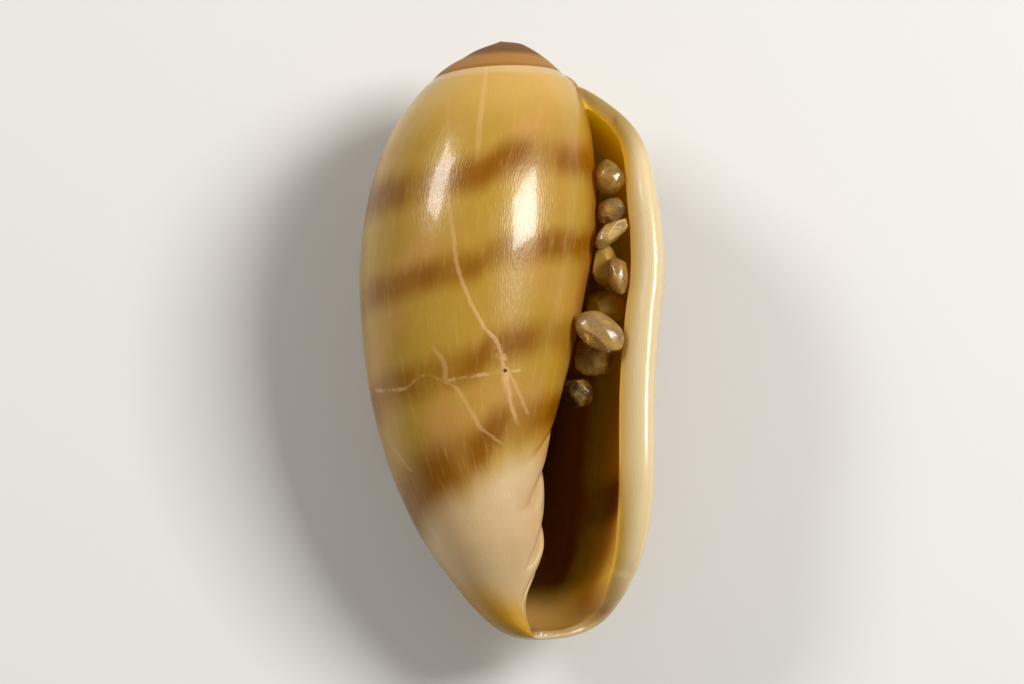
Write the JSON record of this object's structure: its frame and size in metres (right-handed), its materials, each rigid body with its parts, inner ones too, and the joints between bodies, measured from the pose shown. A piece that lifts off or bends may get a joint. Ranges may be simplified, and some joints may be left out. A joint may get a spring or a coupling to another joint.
{
  "type": "marginella sea shell with lodged sand grains",
  "caption": "Small glossy egg-shaped sea shell lying on its back, with a long narrow aperture, folded columella and sand grains caught under the lip.",
  "frame": {"origin": "centre of the bounding box at its underside, where the back of the shell rests", "axes": "+Y along the coiling axis to the apex, +Z out of the aperture, +X to the outer lip"},
  "size_m": [0.0042, 0.0086, 0.0035],
  "materials": {
    "shell": "gloss",
    "quartz_sand": "gloss"
  },
  "bodies": {
    "root": {"shell": "shell", "sand_grain_round": "quartz_sand", "sand_grain_grey": "quartz_sand", "sand_grain_sliver": "quartz_sand", "sand_grain_yellow": "quartz_sand", "sand_grain_pink": "quartz_sand", "sand_grain_amber": "quartz_sand", "sand_grain_oval": "quartz_sand", "sand_grain_dark": "quartz_sand", "sand_grain_brown": "quartz_sand"}
  },
  "joints": []
}
